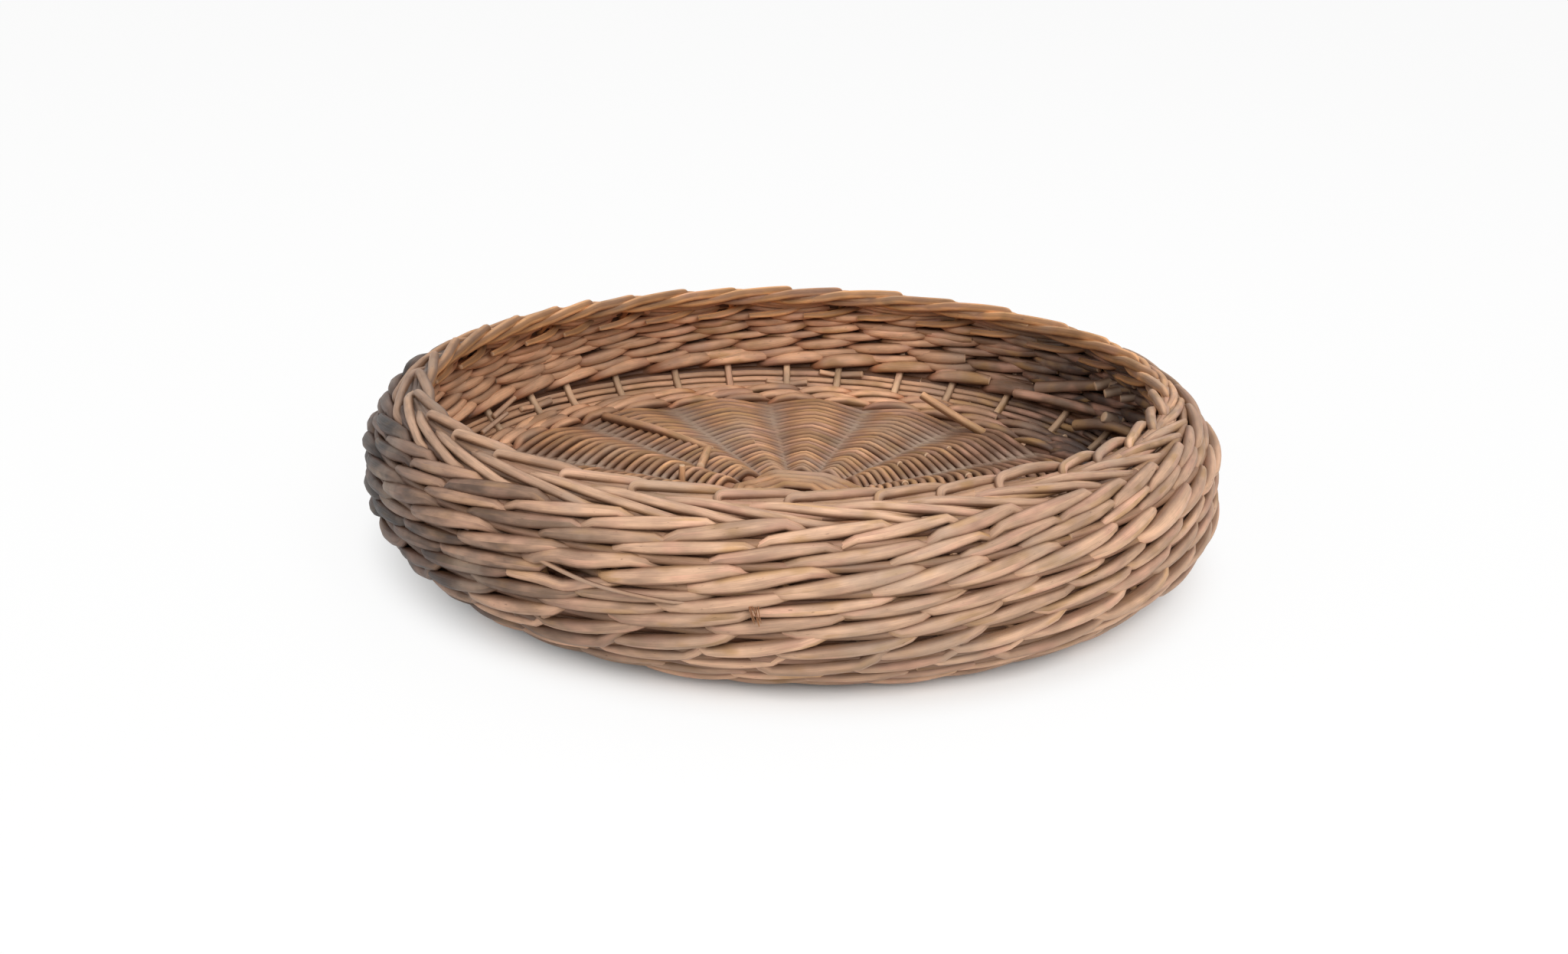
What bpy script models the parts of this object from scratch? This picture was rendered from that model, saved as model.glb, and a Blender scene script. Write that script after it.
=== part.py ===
"""Round, low wicker basket: a woven base on nine sticks, thirty-six stakes, waled walls and a trac border.

Sizes are in metres and angles in degrees. The part stands on z = 0 with its centre at the origin.
"""

import math

import bmesh
import bpy
from mathutils import Vector

# Sticks of the base
STICK_WIDTH = 0.0068
STICK_THICKNESS = 0.0044
SPLIT_THICKNESS = 0.0080
SHAVED_THICKNESS = 0.0026
STICK_TAPER = 0.0060

# Rods
STAKE_DIAMETER = 0.0042
BASE_ROD_DIAMETER = 0.0040
FOOT_ROD_DIAMETER = 0.0056
WALE_ROD_DIAMETER = 0.0048
THIN_ROD_DIAMETER = 0.0038
ROPE_ROD_DIAMETER = 0.0070

# Shape of the base
BASE_RADIUS = 0.1565
SLATH_RADIUS = 0.0460
BASE_CROWN = 0.0030
STAKE_INSERT_DEPTH = 0.0325
STAKE_SPREAD_DEPTH = 0.0085
FOOT_FLAT_DEPTH = 0.0005

# Shape of the wall, on the middle of its thickness
FOOT_STEP = 0.0070
BELLY_BULGE = 0.0292
BELLY_RISE = 0.0245
RIM_TUCK = 0.0212
RIM_RISE = 0.0437
RIM_RISE_X = -0.0031
RIM_RISE_Y = -0.0066
OVAL_DEPTH = 0.0107
OVAL_DIRECTION = 51.0
WEAVE_TURN = -4.0
LOWER_BULGE_SHARE = 1.45
UPPER_BULGE_SHARE = 3.2

# Clearances
CLEARANCE = 0.0003
WEAVE_CLEARANCE = 0.0006
CUT_OVERRUN = 0.0050

# Counts and patterns
SPLIT_STICKS = 4
THREADED_STICKS = 5
RIBS = 2 * (SPLIT_STICKS + THREADED_STICKS)
STAKES = 2 * RIBS
STROKE = 3
STICK_STEPS = 3
WALL_STEPS = 400
STAKE_WALL_POINTS = 11
WALL_ROWS = (
    "foot", "wale", "wale", "wale", "wale", "wale", "wale",
    "thin", "thin", "rope", "thin", "wale", "wale",
)
ROD_DIAMETERS = {
    "foot": FOOT_ROD_DIAMETER,
    "wale": WALE_ROD_DIAMETER,
    "thin": THIN_ROD_DIAMETER,
    "rope": ROPE_ROD_DIAMETER,
}

# Worked out from the sizes above
FOOT_RADIUS = BASE_RADIUS + FOOT_STEP
BELLY_RADIUS = FOOT_RADIUS + BELLY_BULGE
RIM_RADIUS = BELLY_RADIUS - RIM_TUCK
STAKE_SIDE = STICK_WIDTH / 2 + WEAVE_CLEARANCE + STAKE_DIAMETER / 2
BASE_HEIGHT = STAKE_DIAMETER / 2 + WEAVE_CLEARANCE + FOOT_ROD_DIAMETER - FOOT_FLAT_DEPTH
BELLY_HEIGHT = BASE_HEIGHT + BELLY_RISE
RIM_HEIGHT = BELLY_HEIGHT + RIM_RISE
RISE_SHARE = math.hypot(RIM_RISE_X, RIM_RISE_Y) / (RIM_HEIGHT - BASE_HEIGHT)
BORDER_PITCH = (STAKE_DIAMETER + WEAVE_CLEARANCE) / (1 - RISE_SHARE)
BORDER_OFFSET = STAKE_DIAMETER + WEAVE_CLEARANCE
# Each slot is a place beside a stake: out from it in border offsets, and up from the rim in pitches
BORDER_SLOT_SHARES = ((-1, -0.9), (-1, -1.9), (1, -2.0), (1, -3.0), (-1, -3.1))

COLOURS = {
    "stick": (0.30, 0.20, 0.13),
    "base": (0.26, 0.15, 0.08),
    "stake": (0.44, 0.30, 0.18),
    "wall": (0.38, 0.26, 0.17),
}


def clear_scene():
    for old in list(bpy.data.objects):
        bpy.data.objects.remove(old, do_unlink=True)


def new_collection(name):
    collection = bpy.data.collections.new(name)
    bpy.context.scene.collection.children.link(collection)
    return collection


def willow(name):
    """Bare willow: dull, not metallic."""
    material = bpy.data.materials.new(name)
    material.use_nodes = True
    shader = material.node_tree.nodes["Principled BSDF"]
    shader.inputs["Base Color"].default_value = (*COLOURS[name], 1)
    shader.inputs["Roughness"].default_value = 0.75
    shader.inputs["Metallic"].default_value = 0
    return material


def rod(name, points, diameter, material, closed=False, sides=4):
    """A tube along points, with flat ends unless it closes on itself."""
    curve = bpy.data.curves.new(name, "CURVE")
    curve.dimensions = "3D"
    curve.bevel_depth = diameter / 2
    curve.bevel_resolution = (sides - 4) // 2
    curve.use_fill_caps = not closed
    spline = curve.splines.new("POLY")
    spline.points.add(len(points) - 1)
    for place, point in zip(spline.points, points):
        place.co = (*point, 1)
    spline.use_cyclic_u = closed
    curve.materials.append(material)
    piece = bpy.data.objects.new(name, curve)
    PARTS.objects.link(piece)
    return piece


def as_mesh(piece):
    """The same piece as a closed mesh, in place of its curve."""
    bpy.context.view_layer.update()
    evaluated = piece.evaluated_get(bpy.context.evaluated_depsgraph_get())
    mesh = bpy.data.meshes.new_from_object(evaluated)
    work = bmesh.new()
    work.from_mesh(mesh)
    bmesh.ops.remove_doubles(work, verts=work.verts, dist=CLEARANCE / 10)
    work.to_mesh(mesh)
    work.free()
    solid = bpy.data.objects.new(piece.name, mesh)
    solid.matrix_world = piece.matrix_world
    name = piece.name
    bpy.data.objects.remove(piece, do_unlink=True)
    solid.name = name
    PARTS.objects.link(solid)
    return solid


def cut_box(piece, low, high, turn=0.0):
    """Takes the box from low to high, turned round the centre of the basket, out of a mesh piece."""
    size = Vector(high) - Vector(low)
    mesh = bpy.data.meshes.new(piece.name + "_cutter")
    work = bmesh.new()
    bmesh.ops.create_cube(work, size=1)
    work.to_mesh(mesh)
    work.free()
    cutter = bpy.data.objects.new(mesh.name, mesh)
    cutter.rotation_euler.z = math.radians(turn)
    cutter.location = cutter.rotation_euler.to_matrix() @ (Vector(low) + Vector(high)) / 2
    cutter.scale = size
    cutter.hide_render = True
    cutter.display_type = "WIRE"
    CUTTERS.objects.link(cutter)
    cut = piece.modifiers.new("cut", "BOOLEAN")
    cut.operation = "DIFFERENCE"
    cut.object = cutter


# Base

def crown_height(radius):
    """Height of the middle of the base, which rises towards its centre."""
    return BASE_HEIGHT + BASE_CROWN * (1 - min(radius / BASE_RADIUS, 1) ** 2)


def rib_angle(rib):
    return math.radians(360 / RIBS * (rib + 0.5) + WEAVE_TURN)


def beside_rib(rib, along, aside, height):
    """A point at a distance along a rib and to its left."""
    angle = rib_angle(rib)
    return Vector((
        along * math.cos(angle) - aside * math.sin(angle),
        along * math.sin(angle) + aside * math.cos(angle),
        height,
    ))


def slath_axis(count, first_rib):
    """The way that a group of sticks lies in the slath."""
    angle = rib_angle(first_rib + (count - 1) / 2)
    return Vector((math.cos(angle), math.sin(angle), 0))


def stick_path(place, count, half_slath, first_rib):
    """A stick bowed from one rib, across the middle, to the rib on the other side."""
    aside = (place - (count - 1) / 2) * (STICK_WIDTH + CLEARANCE)
    flat = half_slath + STICK_TAPER
    axis = slath_axis(count, first_rib)
    across = Vector((-axis.y, axis.x, 0)) * aside
    ends = []
    for rib, way in ((first_rib + place, 1), (first_rib + RIBS // 2 + count - 1 - place, -1)):
        run = [axis * way * half_slath + across, axis * way * flat + across]
        root = beside_rib(rib, SLATH_RADIUS - BASE_ROD_DIAMETER, 0, 0)
        tip = beside_rib(rib, BASE_RADIUS, 0, 0)
        run += [root.lerp(tip, part / STICK_STEPS) for part in range(STICK_STEPS + 1)]
        ends.append(run)
    path = ends[1][::-1] + ends[0]
    return [Vector((p.x, p.y, crown_height(p.to_2d().length))) for p in path]


def shape_thickness(stick, axis, half_slath, thickness):
    """Shaves or thickens a stick in the slath, and flattens the rest of it to its own thickness."""
    for vertex in stick.data.vertices:
        middle = crown_height(vertex.co.to_2d().length)
        inside = abs(vertex.co.dot(axis)) < half_slath + STICK_TAPER / 2
        share = (thickness if inside else STICK_THICKNESS) / STICK_WIDTH
        vertex.co.z = middle + (vertex.co.z - middle) * share


def base_sticks(material):
    """The slath: split sticks, with the others threaded through their slots, fanned out as ribs."""
    pitch = STICK_WIDTH + CLEARANCE
    half_split = THREADED_STICKS * pitch / 2 + CLEARANCE
    half_threaded = SPLIT_STICKS * pitch / 2 + CLEARANCE
    slot = SHAVED_THICKNESS / 2 + CLEARANCE
    middle = crown_height(0)
    groups = (
        ("split_stick", SPLIT_STICKS, half_split, -SPLIT_STICKS // 2, SPLIT_THICKNESS),
        ("threaded_stick", THREADED_STICKS, half_threaded, SPLIT_STICKS // 2, SHAVED_THICKNESS),
    )
    for label, count, half_slath, first_rib, thickness in groups:
        for place in range(count):
            path = stick_path(place, count, half_slath, first_rib)
            stick = as_mesh(rod(f"{label}_{place + 1}", path, STICK_WIDTH, material, sides=6))
            shape_thickness(stick, slath_axis(count, first_rib), half_slath, thickness)
            if label == "split_stick":
                cut_box(
                    stick,
                    (-half_split, -BASE_RADIUS, middle - slot),
                    (half_split, BASE_RADIUS, middle + slot),
                    WEAVE_TURN,
                )


def rib_crossing_height(radius):
    """How far a base rod's middle passes above a rib's, so that its straight run clears the rib."""
    half_gap = math.pi * radius / RIBS
    slope = 0.0
    for _ in range(20):
        reach = math.hypot(STICK_WIDTH / 2 * slope, STICK_THICKNESS / 2 * math.sqrt(1 - slope ** 2))
        slope = min((reach + WEAVE_CLEARANCE + BASE_ROD_DIAMETER / 2) / half_gap, 0.9)
    return half_gap * slope / math.sqrt(1 - slope ** 2)


def stake_aside(radius):
    """How far a stake lies from its rib's middle: close beside it, then spreading to its place in the wall."""
    wall_place = FOOT_RADIUS * math.sin(math.radians(180 / STAKES))
    spread = (radius - BASE_RADIUS + STAKE_SPREAD_DEPTH) / (FOOT_STEP + STAKE_SPREAD_DEPTH)
    return STAKE_SIDE + (wall_place - STAKE_SIDE) * min(max(spread, 0), 1)


def base_rods(material):
    """The pair of rods woven round the ribs from the slath to the edge, each over where the other is under."""
    room = BASE_RADIUS - SLATH_RADIUS
    turns = int((room / (BASE_ROD_DIAMETER + WEAVE_CLEARANCE) - 1) / 2)
    pitch = room / (2 * turns + 1)
    flat_height = STICK_THICKNESS / 2 + WEAVE_CLEARANCE + BASE_ROD_DIAMETER / 2
    for strand in range(2):
        points = []
        for step in range(turns * RIBS + 1):
            radius = SLATH_RADIUS + pitch * (2 * step / RIBS + strand)
            side = 1 if (step + strand) % 2 == 0 else -1
            rib = step % RIBS
            middle = crown_height(radius)
            if radius > BASE_RADIUS - STAKE_INSERT_DEPTH - pitch:
                aside = stake_aside(radius)
                points += [
                    beside_rib(rib, radius, -aside, middle + side * flat_height),
                    beside_rib(rib, radius, aside, middle + side * flat_height),
                ]
            else:
                points.append(beside_rib(rib, radius, 0, middle + side * rib_crossing_height(radius)))
        rod(f"base_weaver_{strand + 1}", points, BASE_ROD_DIAMETER, material)


# Wall

def wall_profile():
    """Radius and height of the middle of the wall, from the foot to the rim, with the length so far."""
    profile = []
    length = 0.0
    for step in range(WALL_STEPS + 1):
        turn = math.pi * step / WALL_STEPS
        if turn < math.pi / 2:
            share = 1 - math.cos(turn)
            radius = FOOT_RADIUS + (BELLY_RADIUS - FOOT_RADIUS) * (
                1 - (1 - share) ** LOWER_BULGE_SHARE
            ) ** (1 / LOWER_BULGE_SHARE)
            height = BASE_HEIGHT + (BELLY_HEIGHT - BASE_HEIGHT) * share
        else:
            share = (turn - math.pi / 2) / (math.pi / 2)
            radius = RIM_RADIUS + (BELLY_RADIUS - RIM_RADIUS) * (1 - share ** UPPER_BULGE_SHARE)
            height = BELLY_HEIGHT + (RIM_HEIGHT - BELLY_HEIGHT) * share
        point = Vector((radius, height))
        if profile:
            length += (point - profile[-1][0]).length
        profile.append((point, length))
    return profile


def on_profile(length):
    """The wall's middle at a length from the foot, and the way out from it."""
    index = 1
    while index < WALL_STEPS and PROFILE[index][1] < length:
        index += 1
    (low, start), (high, end) = PROFILE[index - 1], PROFILE[index]
    point = low.lerp(high, (length - start) / (end - start))
    before = PROFILE[max(index - 4, 0)][0]
    after = PROFILE[min(index + 3, WALL_STEPS)][0]
    along = (after - before).normalized()
    return point, Vector((along.y, -along.x))


def wall_point(stake, length, out=0.0):
    """A point beside a stake: its length up the wall from the foot, and how far out from the middle."""
    point, outward = on_profile(length)
    share = (point.y - BASE_HEIGHT) / (RIM_HEIGHT - BASE_HEIGHT)
    angle = math.radians(360 / STAKES * (stake + 0.5) + WEAVE_TURN)
    oval = OVAL_DEPTH * math.cos(2 * (angle - math.radians(OVAL_DIRECTION)))
    radius = point.x + oval * share + outward.x * out
    rise = RIM_RISE_X * math.cos(angle) + RIM_RISE_Y * math.sin(angle)
    return Vector((
        radius * math.cos(angle),
        radius * math.sin(angle),
        point.y + rise * share + outward.y * out,
    ))


def stakes(material):
    """Each stake: beside its rib, up the wall, then behind two, in front of two and away inside."""
    rim = PROFILE[-1][1]
    for stake in range(STAKES):
        rib = stake // 2
        side = -1 if stake % 2 == 0 else 1
        points = [
            beside_rib(rib, radius, side * stake_aside(radius), crown_height(radius))
            for radius in (BASE_RADIUS - STAKE_INSERT_DEPTH, BASE_RADIUS - STAKE_SPREAD_DEPTH)
        ]
        points += [
            wall_point(stake, rim * step / STAKE_WALL_POINTS) for step in range(STAKE_WALL_POINTS + 1)
        ]
        for place, (out, up) in enumerate(BORDER_SLOT_SHARES):
            points.append(wall_point(stake + place + 1, rim + up * BORDER_PITCH, out * BORDER_OFFSET))
        rod(f"stake_{stake + 1:02d}", points, STAKE_DIAMETER, material)


def spread_rows(kinds):
    """Where rows of these kinds lie, spread evenly from the foot to the border, and how tightly they lie."""
    diameters = [ROD_DIAMETERS[kind] for kind in kinds]
    places = [0.0]
    for below, above in zip(diameters, diameters[1:]):
        places.append(places[-1] + (below + above) / 2 + CLEARANCE)
    lowest_slot = min(up for _, up in BORDER_SLOT_SHARES) * BORDER_PITCH
    seat = (STAKE_DIAMETER + diameters[-1]) / 2 + CLEARANCE
    top = PROFILE[-1][1] + lowest_slot - seat / (1 - RISE_SHARE)
    stretch = top / places[-1]
    return [place * stretch for place in places], 1 / (1 - RISE_SHARE) / stretch


def choose_rows():
    """The kinds of rows that fill the wall: its list, with fewer or more wale rows at the top as they fit."""
    kinds = list(WALL_ROWS)
    while spread_rows(kinds)[1] > 1:
        kinds.pop()
    while spread_rows(kinds + ["wale"])[1] <= 1:
        kinds.append("wale")
    return kinds


def wall_rows(material):
    """Rows of rod round the stakes: in front of two, behind one, each row one stake further on."""
    kinds = choose_rows()
    for row, (kind, length) in enumerate(zip(kinds, spread_rows(kinds)[0])):
        diameter = ROD_DIAMETERS[kind]
        offset = (STAKE_DIAMETER + diameter) / 2 + WEAVE_CLEARANCE
        points = [
            wall_point(stake, length, -offset if (stake + row) % STROKE == 0 else offset)
            for stake in range(STAKES)
        ]
        name = f"wall_row_{row + 1:02d}_{kind}"
        if kind == "foot":
            ring = as_mesh(rod(name, points, diameter, material, closed=True, sides=8))
            reach = BELLY_RADIUS + OVAL_DEPTH
            cut_box(ring, (-reach, -reach, -CUT_OVERRUN), (reach, reach, 0))
        else:
            rod(name, points, diameter, material, closed=True)


clear_scene()
PARTS = new_collection("wicker_basket")
CUTTERS = new_collection("cutters")
PROFILE = wall_profile()
base_sticks(willow("stick"))
base_rods(willow("base"))
stakes(willow("stake"))
wall_rows(willow("wall"))
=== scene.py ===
"""Round wicker basket of aged willow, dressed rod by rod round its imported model.

Lengths are in metres and angles in degrees, unless a comment says otherwise. The wall is laid out on the
middle of its thickness: a place on it is an angle round the basket, a length up from the foot, and how
far out from the middle it lies. Angles and lengths are worked in numpy arrays, one value for each point.
"""

import math
from functools import partial

import bpy
import numpy as np
from bpy.props import FloatProperty, FloatVectorProperty, IntProperty, PointerProperty
from mathutils import Matrix


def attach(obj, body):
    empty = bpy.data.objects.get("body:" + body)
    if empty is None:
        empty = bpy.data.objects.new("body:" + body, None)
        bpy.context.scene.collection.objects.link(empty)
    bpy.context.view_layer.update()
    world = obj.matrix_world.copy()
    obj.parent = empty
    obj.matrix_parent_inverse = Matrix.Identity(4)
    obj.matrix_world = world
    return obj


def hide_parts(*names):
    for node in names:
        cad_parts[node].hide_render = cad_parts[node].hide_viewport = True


bl_info = {
    "name": "Round wicker basket",
    "version": (1, 0, 0),
    "blender": (4, 5, 0),
    "location": "View3D > Sidebar > Basket",
    "description": "Builds a low, round willow basket from its sticks, stakes, weavers and border",
    "category": "Add Mesh",
}

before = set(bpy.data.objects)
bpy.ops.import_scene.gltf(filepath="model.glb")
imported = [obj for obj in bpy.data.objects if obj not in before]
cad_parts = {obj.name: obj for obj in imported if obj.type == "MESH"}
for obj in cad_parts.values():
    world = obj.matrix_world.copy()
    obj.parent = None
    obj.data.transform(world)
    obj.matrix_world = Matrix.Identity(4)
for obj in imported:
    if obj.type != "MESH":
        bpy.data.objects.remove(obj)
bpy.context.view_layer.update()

# Pattern of the weave: stakes to a stroke of the wall, and rows of the base
STROKE = 3
BASE_ROWS = 26
# How finely the rods and the wall's shape are drawn
POINTS_PER_STAKE = 8
POINTS_PER_RIB = 10
WALL_SIDES = 10
PROFILE_STEPS = 400

# Each wale: the nodes it stands for, the length up the wall of its strokes outside and inside, and the
# thickness of its rods outside and inside, in millimetres
WALES = (
    (("wall_row_01_foot",), 3.8, 0.4, 5.8, 5.0),
    (("wall_row_02_wale",), 11.6, 5.6, 6.3, 4.8),
    (("wall_row_03_wale",), 19.9, 10.6, 6.3, 4.4),
    (("wall_row_05_wale",), 28.3, 34.4, 6.4, 6.2),
    (("wall_row_06_wale",), 36.5, 40.8, 6.3, 4.8),
    (("wall_row_07_wale",), 44.2, 47.2, 6.0, 5.8),
    (("wall_row_08_thin", "wall_row_09_thin"), 51.6, 52.8, 5.5, 4.6),
    (("wall_row_10_rope",), 60.0, 58.6, 7.4, 5.6),
    (("wall_row_11_thin",), 68.0, 64.4, 5.6, 4.6),
    (("wall_row_12_wale", "wall_row_13_wale"), 74.8, 70.2, 5.8, 5.2),
)
# A stroke by how far it is from its middle outside, in degrees of the pattern: how far out it lies, over
# its reach, and how far it has climbed and how wide it is seen, over its thickness
STROKE_SHAPE = (
    (0, 1.10, 0.00, 1.06), (15, 1.09, 0.09, 1.05), (30, 1.08, 0.18, 1.01), (45, 1.06, 0.27, 0.95),
    (60, 1.04, 0.35, 0.88), (75, 0.97, 0.43, 0.81), (90, 0.76, 0.49, 0.75), (105, 0.28, 0.50, 0.72),
    (120, -0.36, 0.44, 0.80), (135, -0.71, 0.33, 0.96), (150, -0.88, 0.21, 1.04), (165, -0.97, 0.10, 1.08),
    (180, -1.00, 0.00, 1.10),
)
# Thin rods that run behind the stakes in one band: their lengths up the wall in millimetres
LADDER_NODE = "wall_row_04_wale"
LADDER_ROWS = (15.0, 18.9, 22.8, 26.7)
# Rods packed in the wall's middle, with painted shade on them between the wales: how far out they face and
# how much shade is painted on them, then lengths up, offsets out and thickness in millimetres. Those above 83
# fill the border and are seen
PACKING_RODS = (
    (-0.75, 0.7, ((-1.6, 0.0, 4.8), (36.6, 0.6, 4.8), (44.4, 0.6, 4.6), (52.0, 0.6, 4.6), (60.4, 0.6, 4.8),
                  (68.4, 0.6, 4.6), (75.4, 0.6, 4.6))),
    (0.35, 0.55, ((7.6, 2.4, 5.0), (15.7, 3.9, 5.0), (19.8, 4.0, 5.4), (24.1, 4.2, 5.6), (28.2, 3.0, 5.8),
                  (32.4, 3.4, 6.0), (40.4, 3.0, 5.0), (48.0, 2.8, 4.8), (55.8, 3.0, 5.0), (64.2, 3.0, 5.0),
                  (71.6, 2.8, 4.8), (79.2, 1.8, 4.8))),
    (0.45, 0.2, ((83.6, 1.0, 5.0),)), (0.45, 0.25, ((87.2, -0.1, 5.0),)), (0.45, 0.3, ((90.0, -0.9, 4.6),)),
    (0.35, 0.6, ((34.6, 2.0, 4.8),)), (0.45, 0.35, ((85.6, -0.2, 4.6),)),
)
# Rods woven in and out of every stake under the border: lengths up and thickness in millimetres
TOP_RODS = ((75.0, 4.8), (79.4, 4.6), (83.6, 4.4))
# How far the stakes stand from their even places, in degrees: those at the front and back were measured
STAKE_DRIFT = {
    5: 1.8, 6: 2.2, 7: 1.8, 8: 2.4, 9: 1.4, 10: 1.7, 11: 1.3, 12: 2.4, 13: 2.2, 22: -1.1, 23: -1.8,
    24: -0.9, 25: -1.3, 26: -0.6, 27: -1.9, 28: -0.3, 29: -1.4, 30: -1.9, 31: 0.8,
}
# The stake that stands proud of the border at the front
TALL_STAKE = 30
# Thickness of a threaded stick in the slots, and the gap between sticks, in metres
SHAVED_THICKNESS = 0.0026
STICK_GAP = 0.0003
# A hole worn in the wall: its angle and half width in degrees, its length up and half height in
# millimetres
WORN_HOLE = (-116.4, 2.6, 54.6, 4.2)
# What grey skin under painted shade lets through of the willow's colour: in its grooves, where the painted
# shade makes it nearly black, and on its ridges, which are partly rubbed and partly a painted highlight
GROOVE_SHADE_ON_GREY = (0.15, 0.125, 0.115)
RIDGE_WEAR_AND_HIGHLIGHT_ON_GREY = (0.70, 0.66, 0.65)
# What painted shade, partly stain, lets through of the willow's colour at the right of the base
RIGHT_SHADE_AND_STAIN = (0.38, 0.37, 0.41)
MILLIMETRE = 0.001


def linear(hex_colour):
    """An sRGB hex colour as the linear values that Blender's colours hold."""
    parts = [int(hex_colour[place:place + 2], 16) / 255 for place in (0, 2, 4)]
    return [part / 12.92 if part <= 0.04045 else ((part + 0.055) / 1.055) ** 2.4 for part in parts]


def length_property(name, description, default):
    return FloatProperty(name=name, description=description, default=default, unit="LENGTH", precision=4)


def colour_property(name, description, hex_colour):
    return FloatVectorProperty(
        name=name, description=description, default=linear(hex_colour), subtype="COLOR", min=0, max=1
    )


class BasketSizes(bpy.types.PropertyGroup):
    """Sizes of the basket that a maker would choose."""

    stakes: IntProperty(name="Stakes", description="Uprights, two to each rib", default=36, min=12)
    turn: FloatProperty(name="Turn", description="How far the weave is turned", default=-4.0)
    foot_radius: length_property("Foot radius", "Where the wall turns up from the base", 0.1635)
    belly_radius: length_property("Belly radius", "Middle of the wall at its widest", 0.1927)
    rim_radius: length_property("Rim radius", "Middle of the wall at the top", 0.1715)
    base_height: length_property("Base height", "Middle of the base above the floor", 0.0078)
    belly_height: length_property("Belly height", "Height of the widest place", 0.0323)
    rim_height: length_property("Rim height", "Height of the top of the stakes", 0.0760)
    rim_rise_x: length_property("Rim rise to the right", "How much the rim leans sideways", -0.0031)
    rim_rise_y: length_property("Rim rise to the back", "How much the rim leans backwards", -0.0066)
    oval_depth: length_property("Oval depth", "How much longer than round the rim is", 0.0107)
    oval_direction: FloatProperty(name="Oval direction", description="Long way of the rim", default=51.0)
    base_crown: length_property("Crown", "How far the base rises in its middle", 0.0030)
    base_radius: length_property("Base radius", "Reach of the sticks", 0.1570)
    weave_start: length_property("Weave start", "Radius of the first row of the base", 0.0235)
    weave_end: length_property("Weave end", "Radius of the last row of the base", 0.1605)
    stick_width: length_property("Stick width", "Width of a base stick", 0.0068)
    stick_thickness: length_property("Stick thickness", "Thickness of a rib", 0.0056)
    slath_thickness: length_property("Slath thickness", "Thickness of a split stick at its slot", 0.0080)
    stake_thickness: length_property("Stake thickness", "Thickness of a stake", 0.0042)
    seed: IntProperty(name="Seed", description="Sets how the rods vary", default=7)


class BasketColours(bpy.types.PropertyGroup):
    """Colours of aged willow, outside and in."""

    outside: colour_property("Outside", "Willow bleached by light", "b98f6f")
    # Ridges partly rubbed pale and partly given a painted highlight
    outside_worn_and_lit: colour_property("Outside, worn", "Ridges rubbed pale", "c8a184")
    # Grey of the left outside, partly weathered skin and partly painted shade
    outside_grey_and_shade: colour_property("Outside, grey", "Skin on the side that stood in the wet", "50453f")
    inside: colour_property("Inside", "Willow that kept its red brown", "b57a56")
    # Inside ridges, partly worn and partly given a painted highlight
    inside_worn_and_lit: colour_property("Inside, worn", "Ridges of the inside", "e2b08a")
    # Painted shade, partly stain, on the inside at the right
    inside_stain_and_shade: colour_property("Inside, stained", "Dark red brown stain", "4e3d35")
    base: colour_property("Base", "Golden brown rods of the base", "9c6844")
    # Base ridges, partly worn and partly given a painted highlight
    base_worn_and_lit: colour_property("Base, worn", "Ridges of the base", "cf9c70")
    golden: colour_property("Border inside", "Golden brown border rods seen from inside", "eeb179")
    blush: colour_property("Blush", "Pink places of the skin", "c8977f")
    ochre: colour_property("Ochre", "Yellow brown places of the skin", "ad8452")
    # Painted shade between the rods, and dirt specks
    crevice_shade_and_dirt: colour_property("Crevice", "Between the rods", "4c2b15")
    dust: colour_property("Dust", "Grey dust in the grooves", "a8927f")
    cut_end: colour_property("Cut end", "Pale wood of a cut rod", "dab795")
    floor: colour_property("Floor", "Plain pale floor", "f4f4f2")


# Shape of the basket


def around(radius, angle, height):
    """Points round the basket's middle, for arrays or single values of radius, angle and height."""
    parts = (radius * np.cos(angle), radius * np.sin(angle), height)
    return np.stack(np.broadcast_arrays(*parts), axis=-1)


def upward(path):
    """The way up, for each point of a path."""
    return np.tile([0, 0, 1.0], (len(path), 1))


def wall_profile(sizes):
    """Lengths up the wall's middle from inside the foot to the rim, with radii, heights and ways out."""
    turn = np.linspace(0, math.pi, PROFILE_STEPS + 1)
    low = np.clip(1 - np.cos(turn), 0, 1)
    high = np.clip(turn / (math.pi / 2) - 1, 0, 1)
    lower_bulge, upper_bulge = 1.45, 3.2
    below = turn < math.pi / 2
    bulge = (1 - (1 - low) ** lower_bulge) ** (1 / lower_bulge)
    radius = np.where(
        below,
        sizes.foot_radius + (sizes.belly_radius - sizes.foot_radius) * bulge,
        sizes.rim_radius + (sizes.belly_radius - sizes.rim_radius) * (1 - high ** upper_bulge),
    )
    height = np.where(
        below,
        sizes.base_height + (sizes.belly_height - sizes.base_height) * low,
        sizes.belly_height + (sizes.rim_height - sizes.belly_height) * high,
    )
    # It starts flat, inside the foot, and goes on straight past the rim
    radius = np.concatenate([[sizes.foot_radius - 0.08, sizes.foot_radius - 0.002], radius])
    height = np.concatenate([[sizes.base_height] * 2, height])
    steps = np.hypot(np.diff(radius), np.diff(height))
    length = np.concatenate([[0], np.cumsum(steps)]) - steps[:2].sum()
    lean = (radius[-1] - radius[-3]) / (height[-1] - height[-3])
    radius = np.append(radius, radius[-1] + lean * 0.01)
    height = np.append(height, height[-1] + 0.01)
    length = np.append(length, length[-1] + math.hypot(lean, 1) * 0.01)
    way = np.stack([np.gradient(height), -np.gradient(radius)])
    way /= np.linalg.norm(way, axis=0)
    return length, radius, height, way[0], way[1]


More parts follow.
